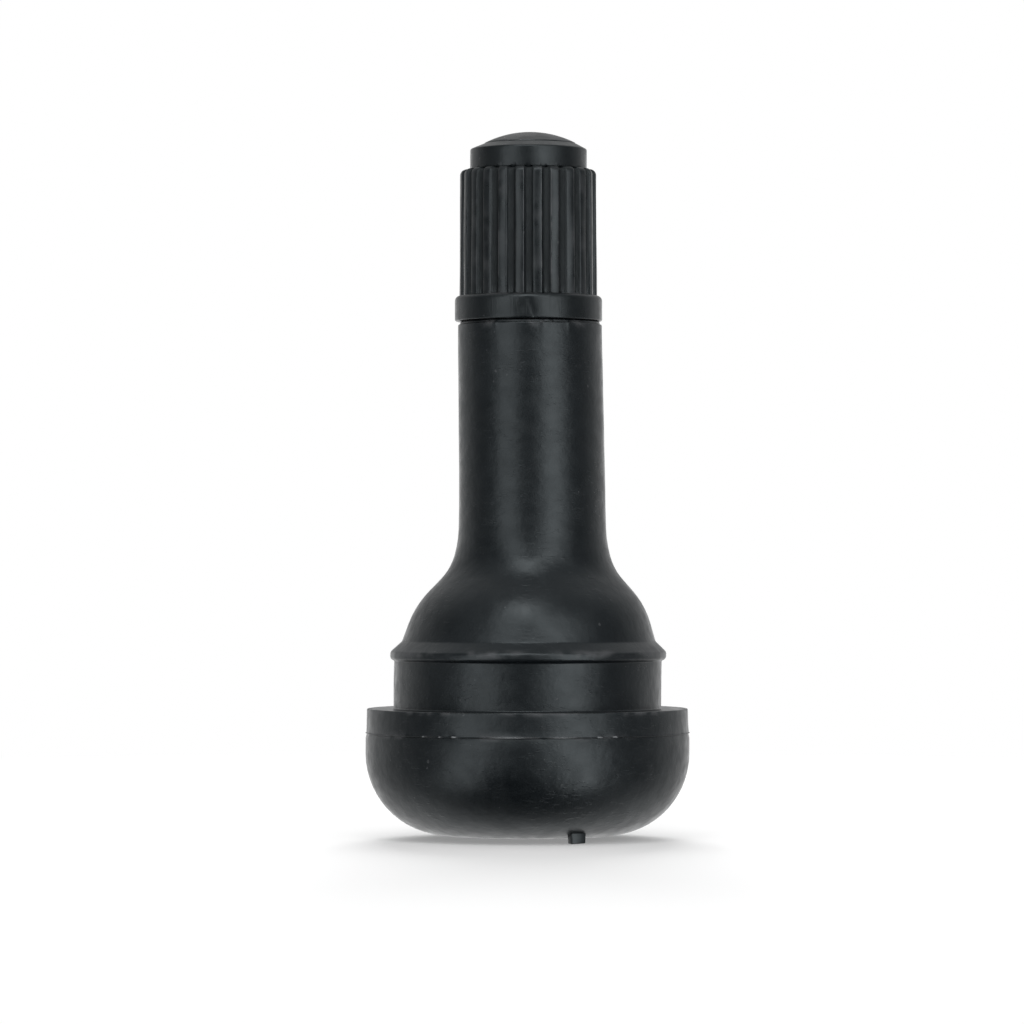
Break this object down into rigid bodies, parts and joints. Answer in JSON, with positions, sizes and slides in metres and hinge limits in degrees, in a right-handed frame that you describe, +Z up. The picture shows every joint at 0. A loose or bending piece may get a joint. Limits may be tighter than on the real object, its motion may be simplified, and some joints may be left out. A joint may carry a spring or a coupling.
{
  "type": "tyre valve",
  "caption": "Snap-in rubber tyre valve with a brass stem, a spring-loaded valve core and a ribbed plastic screw-on dust cap.",
  "frame": {"origin": "centre of the bounding box's underside, on the stem's axis, level with the lowest point of the moulding tab", "axes": "+Z up along the stem from the rubber base to the dust cap; -Y is the side that faces the camera"},
  "size_m": [0.0206, 0.0206, 0.0451],
  "materials": {
    "rubber_body": "satin moulded black rubber",
    "brass_stem": "turned brass",
    "core_plug": "turned brass",
    "core_barrel": "turned brass",
    "barrel_gasket": "matt rubber",
    "core_spring": "drawn steel wire",
    "core_pin": "plated steel",
    "pin_cup": "pressed brass",
    "seat_gasket": "matt rubber",
    "cap_seal": "matt rubber",
    "cap": "satin moulded black plastic"
  },
  "bodies": {
    "root": {"rubber_body": "rubber_body", "brass_stem": "brass_stem", "core_plug": "core_plug", "core_barrel": "core_barrel", "barrel_gasket": "barrel_gasket", "core_spring": "core_spring"},
    "pin": {"core_pin": "core_pin", "pin_cup": "pin_cup", "seat_gasket": "seat_gasket"},
    "cap_seal": {"cap_seal": "cap_seal"},
    "cap": {"cap": "cap"}
  },
  "joints": [
    {"name": "pin_press", "type": "slide", "parent": "root", "child": "pin", "axis": [0, 0, -1], "range_m": [0, 0.0015], "stiffness_N_per_m": 600, "deforming": ["core_spring"]},
    {"name": "cap_lift", "type": "slide", "parent": "root", "child": "cap_seal", "axis": [0, 0, 1], "range_m": [0, 0.00873]},
    {"name": "cap_turn", "type": "hinge", "parent": "cap_seal", "child": "cap", "pos_m": [0, 0, 0.033], "axis": [0, 0, 1], "range_deg": [0, 3960]}
  ],
  "couplings": [
    {"joint": "cap_turn", "follows": "cap_lift", "rad_per_m": 7915.8}
  ]
}
